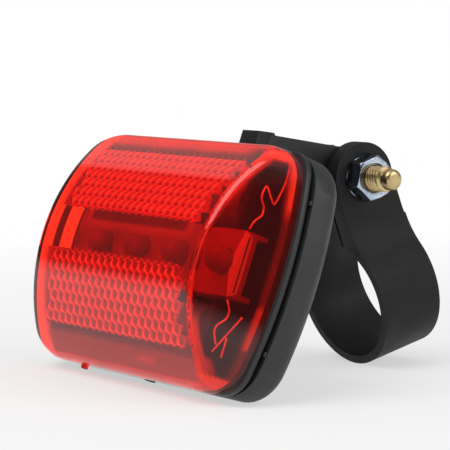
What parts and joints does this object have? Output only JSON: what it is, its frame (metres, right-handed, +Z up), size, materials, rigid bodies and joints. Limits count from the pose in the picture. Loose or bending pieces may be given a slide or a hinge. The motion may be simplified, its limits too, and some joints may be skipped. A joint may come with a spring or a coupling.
{
  "type": "bicycle rear light",
  "caption": "Bicycle rear light with a red prism reflector lens, dark battery case, slide-on bracket and tube clamp.",
  "frame": {"origin": "centre of the clamp bore", "axes": "+Z up off the table, the lens faces -Y and leans back, +X along the clamp bolt towards its nut"},
  "size_m": [0.0768, 0.073, 0.0481],
  "materials": {
    "case_plastic": "fine matte moulding",
    "frame_plastic": "satin moulding",
    "bracket_plastic": "satin moulding",
    "clamp_plastic": "fine matte moulding",
    "seal_rubber": "smooth",
    "button_rubber": "smooth",
    "lens_red": "clear polished red",
    "holder_white": "bright",
    "diode_clear": "clear",
    "board_green": "solder mask",
    "chip_black": "matte",
    "switch_steel": "plain",
    "battery_can": "satin",
    "spring_steel": "nickel plated",
    "bolt_zinc": "yellow zinc",
    "nut_zinc": "blue zinc"
  },
  "bodies": {
    "lamp": {"rear_case": "case_plastic", "case_seal": "seal_rubber", "led_holder": "holder_white", "led_1": "diode_clear", "led_2": "diode_clear", "led_3": "diode_clear", "led_4": "diode_clear", "led_5": "diode_clear", "circuit_board": "board_green", "control_chip": "chip_black", "mode_switch": "switch_steel", "battery_1": "battery_can", "battery_2": "battery_can", "contact_spring_1": "spring_steel", "contact_spring_2": "spring_steel", "contact_plate_1": "spring_steel", "contact_plate_2": "spring_steel", "contact_link": "spring_steel"},
    "front": {"lens": "lens_red", "front_frame": "frame_plastic"},
    "button": {"mode_button": "button_rubber"},
    "bracket": {"bracket_arm": "bracket_plastic"},
    "clamp": {"clamp_ring": "clamp_plastic", "clamp_bolt": "bolt_zinc", "clamp_nut": "nut_zinc"}
  },
  "joints": [
    {"name": "front_pull", "type": "slide", "parent": "lamp", "child": "front", "axis": [0, -0.9366, 0.3505], "range_m": [0, 0.016]},
    {"name": "button_press", "type": "slide", "parent": "lamp", "child": "button", "axis": [0, 0.3505, 0.9366], "range_m": [0, 0.0008], "stiffness_N_per_m": 1500, "springref_m": -0.0005},
    {"name": "bracket_slide", "type": "slide", "parent": "lamp", "child": "bracket", "axis": [0, 0.3505, 0.9366], "range_m": [0, 0.027]},
    {"name": "clamp_hinge", "type": "hinge", "parent": "bracket", "child": "clamp", "pos_m": [0, -0.00746, 0.02336], "axis": [1, 0, 0], "range_deg": [-30, 95]}
  ]
}
